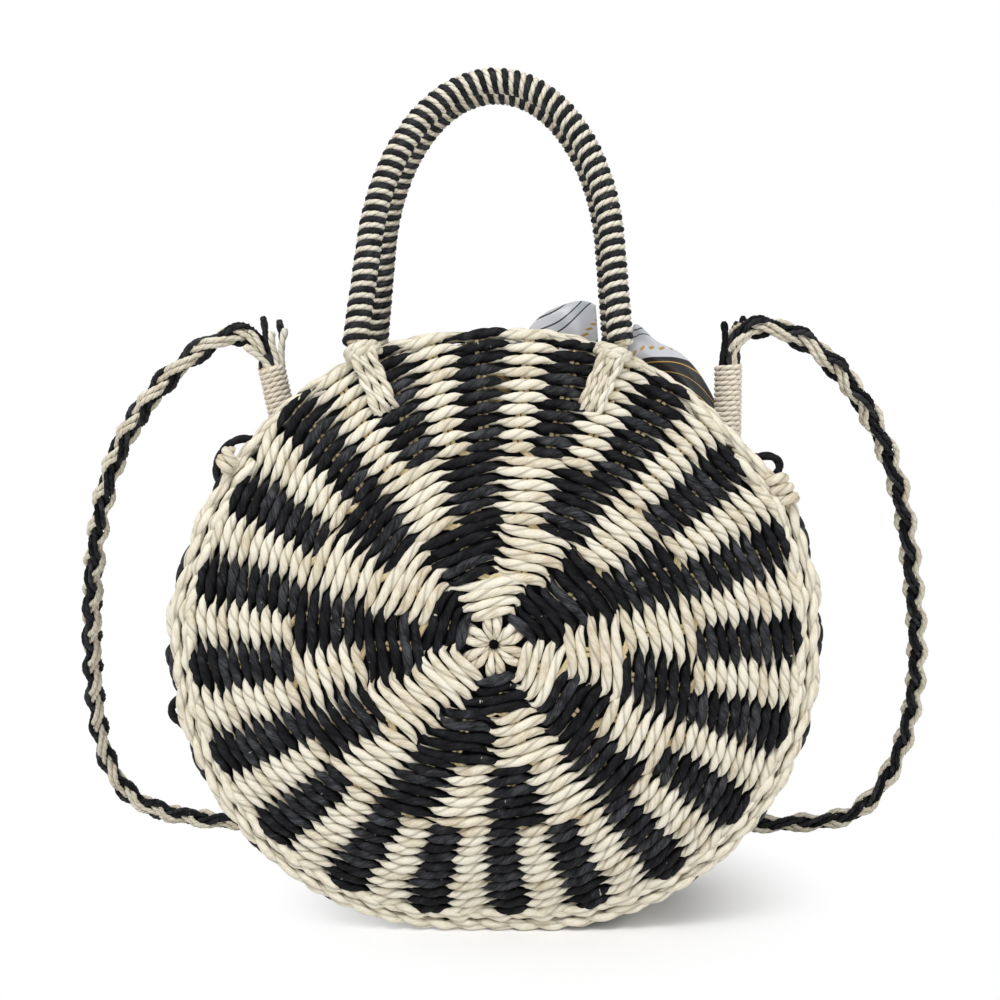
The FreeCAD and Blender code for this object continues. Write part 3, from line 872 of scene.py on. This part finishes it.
handle_span = 120.0
handle_height = 122.0
handle_leg = 46.0
handle_taper = 4.5
handle_lean = math.radians(13.5)
handle_round = 0.53         # the higher, the squarer the arch above the legs
handle_knee = 15.0          # how far below the legs' tops they start to bend
handle_step = 0.5
handle_shifts = {"front": -3.0, "back": -1.1}   # to the right, of the feet of each handle
wrap_pitch = 5.56           # one black and one cream turn
wrap_reach = 4.6
wrap_radii = {"black": 1.58, "cream": 1.44}
wrap_below = 4.0            # how far the windings go down past the foot into its knot
wrap_starts = {"black": -2.83, "cream": -2.83 + math.pi}    # angles at which the windings begin
foot_knot_reach = 3.4       # of the cord that is wound into a ball at each foot
foot_knot_drop = 2.0        # of the ball's middle below the foot
foot_knot_radius = 1.4
foot_knot_turns = 5
foot_knot_ply = 12.0
core_radius = 4.4
core_step = 3.0
core_ply = 40.0
joints = {joint["name"]: joint for joint in frame["joints"]}
foot_z = joints["front_handle_fold"]["pos_m"][2] / mm


def handle_line(shift):
    """The arch of the front handle from the left foot to the right one, and on into its knots."""
    half, knee = handle_span / 2, handle_span / 2 - handle_taper
    slope = handle_taper / handle_leg
    up = handle_round * (handle_height - handle_leg)
    low, high = handle_leg - handle_knee, handle_leg + up

    def at(across, height):
        place = (across + shift * (1 - height / handle_height), -rim_y + height * math.sin(handle_lean),
                 foot_z + height * math.cos(handle_lean))
        return [value * mm for value in place]

    # Each station's place, and its handles before and after
    stations = [
        ((-half, 0), (-half, 0), (-half + handle_taper / 3, handle_leg / 3)),
        ((-knee, handle_leg), (-knee - slope * handle_knee, low), (-knee + slope * up, high)),
        ((0, handle_height), (-handle_round * knee, handle_height), (handle_round * knee, handle_height)),
        ((knee, handle_leg), (knee - slope * up, high), (knee + slope * handle_knee, low)),
        ((half, 0), (half - handle_taper / 3, handle_leg / 3), (half, 0)),
    ]
    curve, spline = new_route("BEZIER", len(stations), 48)
    for point, (place, before, after) in zip(spline.bezier_points, stations):
        point.co = at(*place)
        point.handle_left_type = point.handle_right_type = "FREE"
        point.handle_left = at(*before)
        point.handle_right = at(*after)
    return past_ends(evenly(read_line(curve), handle_step), np.arange(wrap_below, 0, -handle_step))


def wound(line, first, reach, pitch, start, low, high, radius, step=1.5, ply=8.5):
    """A cord wound round a line from low to high along it, starting at an angle."""
    side, other = carried_frames(line, first)
    along = length_along(line)
    turn_length = math.hypot(tau * reach, pitch)
    count = int((high - low) / pitch * turn_length / step)
    place = np.linspace(low, high, count)

    def at(values):
        return np.stack([np.interp(place, along, values[:, axis]) for axis in range(3)], -1)

    turn = tau * (place - low) / pitch + start
    return run(at(line) + turning(at(side), at(other), turn) * reach, radius, ply=ply)


def foot_knots(shift):
    """The balls of cord that turn in the lashings, at the feet of the front handle."""
    share = np.linspace(0.02, 0.98, 120)
    polar, turn = math.pi * share, tau * foot_knot_turns * share
    ball = np.stack([np.sin(polar) * np.cos(turn), np.sin(polar) * np.sin(turn), np.cos(polar)], -1)
    drop = np.array([0, -math.sin(handle_lean), -math.cos(handle_lean)]) * foot_knot_drop
    runs = []
    for across in (shift - handle_span / 2, shift + handle_span / 2):
        foot = np.array([across, -rim_y, foot_z]) + drop
        runs.append(run(foot + ball * foot_knot_reach, foot_knot_radius, ply=foot_knot_ply))
    return runs


for side, shift in handle_shifts.items():
    place = both_faces[side]
    body = side + "_handle"
    right = -shift if side == "back" else shift
    cords(body + "_foot_knots", place(foot_knots(right)), cream_straw, body)
    handle_points = handle_line(right)
    handle_length = length_along(handle_points)[-1]
    for colour, material in two_straws.items():
        winding = wound(handle_points, forward, wrap_reach, wrap_pitch, wrap_starts[colour], 0.0,
                        handle_length, wrap_radii[colour])
        cords(body + "_" + colour + "_winding", place([winding]), material, body,
              replaced=[body + "_" + colour + "_wrap"])
    rope = run(evenly(handle_points, core_step), core_radius, ply=core_ply)
    cords(body + "_rope", place([rope]), spoke_straw, body, groove=0.1,
          replaced=[body + "_core"])


# Lashings at the feet of the handles

lashing_angle = math.atan2(handle_span / 2, foot_z - centre_z)
tail_cords = 3
tail_pitch = 4.0
tail_reach = 1.1            # from a cord's middle to the middle of each of its two strands
tail_turn = 19.0
tail_radius = 1.38
tail_start = 0.975          # ring where the tails come down on the panel
tail_end = 0.83             # ring where they go into the weave
tail_lift = ((tail_end, 0.2), (tail_end + 0.03, 4.0), (0.97, 4.4))      # by ring
tail_top = ((-6.0, 4.0), (-9.0, 6.8))   # from the foot, outwards and forwards, where a tail leaves the collar
collar_reach = 6.8
collar_radius = 2.2
collar_ply = 11.0
collar_rise = (-10.6, -6.2)     # from the foot
collar_arch = {"left": 2.4, "right": 0.6}       # how far the collar rises at its front


def lashing_runs(arch, shift):
    """The right front lashing: a collar round the foot and the cords down the panel."""
    out, along = out_and_along(lashing_angle)
    foot = np.array([handle_span / 2 + shift, -rim_y, foot_z])
    turn = np.linspace(-0.5 * math.pi, 3.5 * math.pi, 80)
    rise = np.linspace(*collar_rise, 80) + arch * np.sin(turn)
    collar = foot + turning(-along, forward, turn) * collar_reach + out * rise[:, None]
    runs = [run(collar, collar_radius, ply=collar_ply)]
    ring = np.linspace(tail_start, tail_end, 14)
    tail = on_dome(ring, lashing_angle, through(tail_lift, ring)) + np.array([shift, 0, 0])
    top = [foot + out * height + forward * before for height, before in tail_top]
    for cord in range(tail_cords):
        aside = tail_pitch * (cord - (tail_cords - 1) / 2)
        path = evenly(nurbs_line(np.concatenate([top, tail]) + along * aside), fine_step)
        length = length_along(path)[-1]
        turned_by = tau * rng.random()
        for start in (0, math.pi):
            runs.append(wound(path, along, tail_reach, tail_turn, start + turned_by, 0.0, length, tail_radius,
                              ply=tail_turn))
    return runs


for side, shift in handle_shifts.items():
    for hand in ("left", "right"):
        runs = lashing_runs(collar_arch[hand], shift if hand == "right" else -shift)
        if hand == "left":
            runs = mirrored(runs)
        if side == "back":
            runs = mirrored(back_of(runs))
        name = side + "_" + hand + "_lashing"
        cords(name + "_cords", runs, cream_straw, replaced=[name])


# Tabs: the bound bundle and its cut ends

tab_radius = 6.8
tab_root = 6.0              # how far a bundle starts below the outline
tab_head = 3.5              # from the last turn of twine to the top of a tab
twine_radius = 1.35
twine_low = 4.0             # along the bundle, where the twine starts
bundle_inset = 1.6          # from the outside of the twine
bundle_short = 1.0
bundle_ply = 60.0
# Each cut end: its colour, place away from the bag and backwards, length, and lean in the same directions
tab_ends = {
    "left": (("black", -2.0, -1.4, 19.5, (0.05, 0.03)), ("black", -4.2, 1.4, 16.5, (-0.17, 0.04)),
             ("cream", -3.2, -2.8, 11.3, (-0.05, -0.08)), ("cream", -4.6, -1.6, 11.5, (-0.22, -0.06)),
             ("cream", -1.4, -4.0, 7.5, (0.50, -0.08))),
    "right": (("black", -3.4, -2.4, 16.6, (0.04, -0.03)), ("black", -1.6, 1.6, 16.6, (0.18, 0.08)),
              ("black", 2.4, 3.8, 19.4, (0.18, 0.08)), ("cream", 0.6, 2.6, 11.0, (0.16, 0.05))),
}
# Radius along a cut end, to its soft tip
end_radius = ((0, 1.6), (0.5, 1.5), (0.75, 1.65), (0.9, 1.95), (0.97, 1.75), (1, 1.1))
end_sway = 0.9
end_sag = 4
end_sunk = 9.0              # how far the ends go down into the twine


def tab_pieces(side):
    tab = tabs[side]
    base, up, away = tab_frame(side)
    line = base + up * np.linspace(-tab_root, tab["height"], 60)[:, None]
    low, high = twine_low, tab_root + tab["height"] - tab_head - twine_radius
    pitch = (high - low) / tab["turns"]
    binding = wound(line, away, tab_radius - twine_radius, pitch, 0.0, low, high, twine_radius,
                    step=fine_step)
    bound = line[line @ up < line[-1] @ up - tab_head - bundle_short]
    bundle = run(bound, tab_radius - bundle_inset, ply=bundle_ply)
    cords(side + "_tab_bundle", [bundle], spoke_straw, groove=0.05, replaced=[side + "_tab"])
    cords(side + "_tab_twine", [binding], twine_straw, replaced=[side + "_tab_binding"])
    share = np.linspace(0, 1, 24)[:, None]
    radius = through(end_radius, share[:, 0])
    for colour, material in two_straws.items():
        runs = []
        for kind, from_strap, aside, length, (lean_away, lean_back) in tab_ends[side]:
            if kind == colour:
                foot = base + up * (tab["height"] - end_sunk) + away * from_strap - forward * aside
                way = up + away * lean_away - forward * lean_back
                sag = away * lean_away * share * share * end_sag
                sway = away * end_sway * share * np.sin(tau * share + aside)
                path = foot + way * (length + end_sunk) * share + sag + sway
                runs.append(run(path, radius, ply=strand_ply))
        replaced = [side + "_tab_ends"] if colour == "black" else []
        cords(side + "_tab_" + colour + "_ends", runs, material, replaced=replaced)


for side in tabs:
    tab_pieces(side)


# Lining

def lining_cloth(colour):
    """Plain cotton, a little uneven in tone."""
    material, tree, surface = shader("lining_cotton", 0.85)
    weave = noise(tree, node(tree, "TexCoord").outputs["Object"], 900)
    dark, pale = (tuple(value * tone for value in colour) for tone in (0.7, 1.4))
    tone = ramp(tree, weave, ((0.3, dark), (0.7, pale)))
    joined(tree, surface, {"Base Color": tone, "Normal": bump(tree, weave, 0.3, 0.0003)})
    return material


lining_cotton = lining_cloth((0.014, 0.014, 0.016))
lining_thickness = 0.6
lining_margin = 3.0         # from the edge of a panel, and from each rim
lining_depth = 4.6
lining_eye = 0.3            # radius where the panel linings close
lining_end = 0.97
lining_mouth = 0.05         # how much further the panel linings go up at the mouth
seam_gap = 0.00005          # in metres, within which points of a seam are one


def cloth(name, across, along, place, material, slot, thickness, replaced=(), printed=None):
    """A sheet that place(u, v) lays out from a flat grid, with printed(u, v) kept as UV for its print."""
    mesh = bpy.data.meshes.new(name)
    grid = bmesh.new()
    layer = grid.loops.layers.uv.new("UVMap")
    bmesh.ops.create_grid(grid, x_segments=across, y_segments=along, size=0.5, calc_uvs=True)
    flat = np.array([vert.co for vert in grid.verts])[:, :2] + 0.5
    if printed:
        spots = np.stack(printed(flat[:, 0], flat[:, 1]), -1)
        for face in grid.faces:
            for loop in face.loops:
                loop[layer].uv = spots[loop.vert.index]
    spots = place(flat[:, 0], flat[:, 1]) * mm
    for vert, spot in zip(grid.verts, spots):
        vert.co = spot
    bmesh.ops.remove_doubles(grid, verts=grid.verts, dist=seam_gap)
    bmesh.ops.recalc_face_normals(grid, faces=grid.faces)
    grid.to_mesh(mesh)
    grid.free()
    finished(mesh, material)
    piece = bpy.data.objects.new(name, mesh)
    solid = piece.modifiers.new("thickness", "SOLIDIFY")
    solid.thickness = thickness * mm
    solid.offset = 0
    return placed(piece, "bag", replaced)


def lining(name, across, along, place):
    return cloth(name + "_lining", across, along, place, lining_cotton, "lining_cotton", lining_thickness,
                 ["lining_" + name])


for side in both_faces:
    def panel_lining(u, v, side=side):
        last = lining_end + lining_mouth * mouth(tau * u)
        ring = ring_of(lining_eye) + (last - ring_of(lining_eye)) * v
        points = on_dome(ring, tau * u, np.full(u.shape, -lining_depth))
        return turned(points) if side == "back" else points

    piece = lining(side, 96, 20, panel_lining)


def side_lining(u, v):
    y = (v - 0.5) * 2 * (rim_y - lining_margin)
    right, left = gusset_span(0.0)
    return edge(right + (left - right) * u, rim_thickness + lining_thickness, y)


piece = lining("side", 120, 6, side_lining)


# Snap

def snap_metal():
    material, tree, surface = shader("snap_metal", 0.32)
    brushed = noise(tree, node(tree, "TexCoord").outputs["Object"], 700)
    tone = ramp(tree, brushed, ((0.35, (0.55, 0.43, 0.22)), (0.65, (0.75, 0.62, 0.36))))
    joined(tree, surface, {"Base Color": tone, "Metallic": 1.0})
    return material


snap_finish = snap_metal()
for name in ("snap_socket", "snap_stud"):
    piece = frame["nodes"][name]
    piece.data.materials.clear()
    piece.data.materials.append(snap_finish)


# Scarf, tied behind the rim beside the right leg of the back handle

scarf_knot = np.array([51.6, 63.0, 256.8])
scarf_thickness = 0.5
scarf_widths = {"loop": 35.0, "tail": 31.0}
knot_radius = 7.4
knot_waist = 0.45           # how much narrower the knot is at its ends
knot_crease = 0.35
knot_flat = 0.9             # its depth from front to back, as a share of its height
knot_wide = 0.85
# Each loop's stations from the knot: right, back, up, then width and thickness
scarf_loops = {
    "left": ((-5, -1, 4, 11, 8), (-12, -3, 13, 26, 11), (-17, -5, 24, 35, 10), (-18.5, -6, 37, 36, 2)),
    "right": ((5, -1, 0, 11, 8), (15, -3, 1, 16, 9), (21, -4, 5, 25, 10), (30, -5, 6, 26, 10),
              (44, -6, -7, 25, 9), (58, -7, -21, 13, 2)),
}
loop_across = {"left": ((0.93, 0.37), (0.94, 0.34)), "right": ((0.1, 1.0), (0.7, 0.71))}
loop_round = {"left": 0.15, "right": 0.0}       # how far the corners of a loop's end draw in
loop_fold = 1.3             # depth of the folds, which run out towards a loop's end
loop_ripple = 0.9
shoulder_height = 15.0      # of the right loop, just past the handle's leg
shoulder_ends = (14.0, 18.0)
shoulder_spread = 9.0
# Each tail's stations from the knot: right, back, up, then width
scarf_tails = {
    "left": ((-2, 3, -4, 13), (-4, 6, -24, 25), (-6, 8, -46, 31)),
    "right": ((4, 2, -3, 13), (22, 0, -20, 24), (37, -1, -36, 31)),
}
tail_across = {"left": (1.0, 0.0), "right": (0.85, 0.53)}
tail_fold = (1.2, 1.6)      # depth of a tail's folds at the knot, and how much it grows from there
tail_back = 1.0


def scarf_satin():
    """Pale satin with a dark border, gold lines along it and a row of gold lozenges."""
    material, tree, surface = shader("scarf_satin", 0.34)
    spot = node(tree, "SeparateXYZ", {"Vector": node(tree, "UVMap").outputs["UV"]}).outputs
    pale, ink, gold = (0.66, 0.67, 0.71), (0.012, 0.012, 0.014), (0.50, 0.31, 0.07)
    silver = (0.56, 0.59, 0.63)
    stops = (
        (0.0, ink), (0.06, gold), (0.072, ink), (0.17, gold), (0.178, ink), (0.27, gold), (0.285, ink),
        (0.33, pale), (0.54, ink), (0.547, silver), (0.585, ink), (0.592, pale), (0.64, ink), (0.646, pale),
    )
    bands = ramp(tree, spot["Y"], stops, "CONSTANT")
    row, across, along, size = 0.43, 14.0, 26.0, 0.34
    repeat = maths(tree, "PINGPONG", maths(tree, "MULTIPLY", spot["X"], along), 0.5)
    from_row = maths(tree, "ABSOLUTE", maths(tree, "SUBTRACT", spot["Y"], row))
    height = maths(tree, "MULTIPLY", from_row, across)
    lozenge = maths(tree, "LESS_THAN", maths(tree, "ADD", repeat, height), size)
    shown = laid_over(tree, lozenge, bands, gold)
    joined(tree, surface, {"Base Color": shown, "Sheen Weight": 0.25})
    return material


satin = scarf_satin()


def scarf_cloth(name, across, along, place, **kept):
    return cloth("scarf_" + name, across, along, place, satin, "scarf_satin", scarf_thickness, **kept)


def along_stations(stations, share):
    """Values that run smoothly through a loop's or tail's stations."""
    table = np.array(stations, float)
    station = np.linspace(0, 1, len(table))
    power = min(3, len(table) - 1)
    return np.stack([np.polyval(np.polyfit(station, column, power), share) for column in table.T], -1)


def loop_cloth(side):
    """One loop of the bow: out along its front, round its end and back along its back."""
    first, last = (np.array([x, 0, z]) for x, z in loop_across[side])

    def place(u, v):
        wide = 2 * v - 1
        share = (1 - np.abs(2 * u - 1)) * (1 - loop_round[side] * np.abs(wide) ** 3)
        x, y, z, width, thickness = along_stations(scarf_loops[side], share).T
        face = np.sign(u - 0.5)
        across = unit(first + (last - first) * share[:, None])
        folds = loop_fold * np.sin(5 * math.pi * v + 1.0) * (1.1 - share)
        folds = folds + loop_ripple * np.sin(9 * v + 7 * share)
        puff = face * thickness / 2 * np.sqrt(np.clip(1.02 - wide ** 2, 0, 1)) + folds * np.abs(face)
        points = np.stack([x, y + puff, z], -1) + across * (width / 2 * wide)[:, None]
        if side == "right":
            low, high = shoulder_ends
            rise = np.clip((points[:, 0] - low) / (high - low), 0, 1) * v ** 2
            rise = rise * np.exp(-((np.maximum(points[:, 0], high) - high) / shoulder_spread) ** 2)
            points[:, 2] += shoulder_height * rise
        return scarf_knot + points

    def printed(u, v):
        """Where in the bands of the print a point of the loop lies."""
        share = 1 - np.abs(2 * u - 1)
        if side == "left":
            return u, 0.34 + 0.36 * share - 0.10 * v - 0.08 * (2 * v - 1) ** 2
        return u, 0.33 + 0.5 * (v - 0.42 - 1.25 * np.maximum(share - 0.3, 0))

    return scarf_cloth(side + "_loop", 60, 36, place, printed=printed)


def tail_cloth(side):
    """One hanging end of the bow, in folds that open downwards."""
    across = unit(np.array([tail_across[side][0], 0, tail_across[side][1]]))

    def place(u, v):
        x, y, z, width = along_stations(scarf_tails[side], u).T
        folds = (tail_fold[0] + tail_fold[1] * u) * np.sin(3 * math.pi * v)
        points = scarf_knot + np.stack([x, y + tail_back + folds, z], -1)
        return points + across * (width * (v - 0.5))[:, None]

    return scarf_cloth(side + "_tail", 40, 36, place)


def knot_cloth():
    """The band that goes once round the middle of the bow."""
    out, along = out_and_along(lashing_angle)

    def place(u, v):
        turn = tau * u
        wide = 2 * v - 1
        reach = knot_radius * (1 - knot_waist * wide ** 2) + knot_crease * np.sin(8 * turn + 3 * v)
        around = turning(out, -forward * knot_flat, turn)
        return scarf_knot + around * reach[:, None] + along * (wide * knot_radius * knot_wide)[:, None]

    return scarf_cloth("knot", 48, 14, place, replaced=["scarf"])


scarf_pieces = [(loop_cloth(side), scarf_widths["loop"]) for side in scarf_loops]
scarf_pieces += [(tail_cloth(side), scarf_widths["tail"]) for side in scarf_tails]
scarf_pieces.append((knot_cloth(), 2 * knot_radius))


# Stage and light, in metres

floor_half = 6.0
shadow_middle = (0.03, 0.01, 0.0)
shadow_ends = (0.04, 0.145)     # from there, where the floor's shadow fades to white
world_light = 0.55
light_target = (0, 0, 0.15)


def stage_floor():
    """A white floor that keeps the shadow near the bag and is plain white for the camera further out."""
    mesh = bpy.data.meshes.new("floor")
    grid = bmesh.new()
    bmesh.ops.create_grid(grid, x_segments=1, y_segments=1, size=floor_half)
    grid.to_mesh(mesh)
    grid.free()
    material = bpy.data.materials.new("floor")
    material.use_nodes = True
    tree = material.node_tree
    tree.nodes.clear()
    matte = node(tree, "BsdfDiffuse", {"Color": (0.94, 0.94, 0.945, 1)}).outputs["BSDF"]
    glow = node(tree, "Emission", {"Strength": 1.0}).outputs["Emission"]
    place = node(tree, "TexCoord").outputs["Object"]
    distance = node(tree, "VectorMath", {0: place, 1: shadow_middle}, operation="DISTANCE").outputs["Value"]
    sockets = {"Value": distance, "From Min": shadow_ends[0], "From Max": shadow_ends[1]}
    fade = node(tree, "MapRange", sockets, interpolation_type="SMOOTHSTEP").outputs["Result"]
    seen = maths(tree, "MULTIPLY", node(tree, "LightPath").outputs["Is Camera Ray"], fade)
    shown = node(tree, "MixShader", {"Fac": seen, 1: matte, 2: glow}).outputs["Shader"]
    node(tree, "OutputMaterial", {"Surface": shown})
    mesh.materials.append(material)
    floor = link(bpy.data.objects.new("floor", mesh))


def white_world():
    """Plain white for the camera, and softer as a light."""
    world = bpy.data.worlds.new("studio")
    bpy.context.scene.world = world
    world.use_nodes = True
    tree = world.node_tree
    seen = node(tree, "LightPath").outputs["Is Camera Ray"]
    strength = node(tree, "MapRange", {"Value": seen, "To Min": world_light, "To Max": 1.0}).outputs["Result"]
    joined(tree, tree.nodes["Background"], {"Color": (1, 1, 1, 1), "Strength": strength})


def soft_light(name, place, size, watts):
    data = bpy.data.lights.new(name, "AREA")
    data.size = size
    data.energy = watts
    lamp = link(bpy.data.objects.new(name, data))
    lamp.location = place
    right, back, up = np.array(light_target) - np.array(place)
    tilt = math.atan2(math.hypot(right, back), -up)
    lamp.rotation_euler = (tilt, 0, math.atan2(right, -back) + math.pi)


stage_floor()
white_world()
soft_light("key", (-0.5, -1.0, 1.7), 0.9, 24)
soft_light("fill", (1.3, -1.3, 0.8), 1.0, 7)
bpy.context.scene.view_settings.view_transform = "Standard"
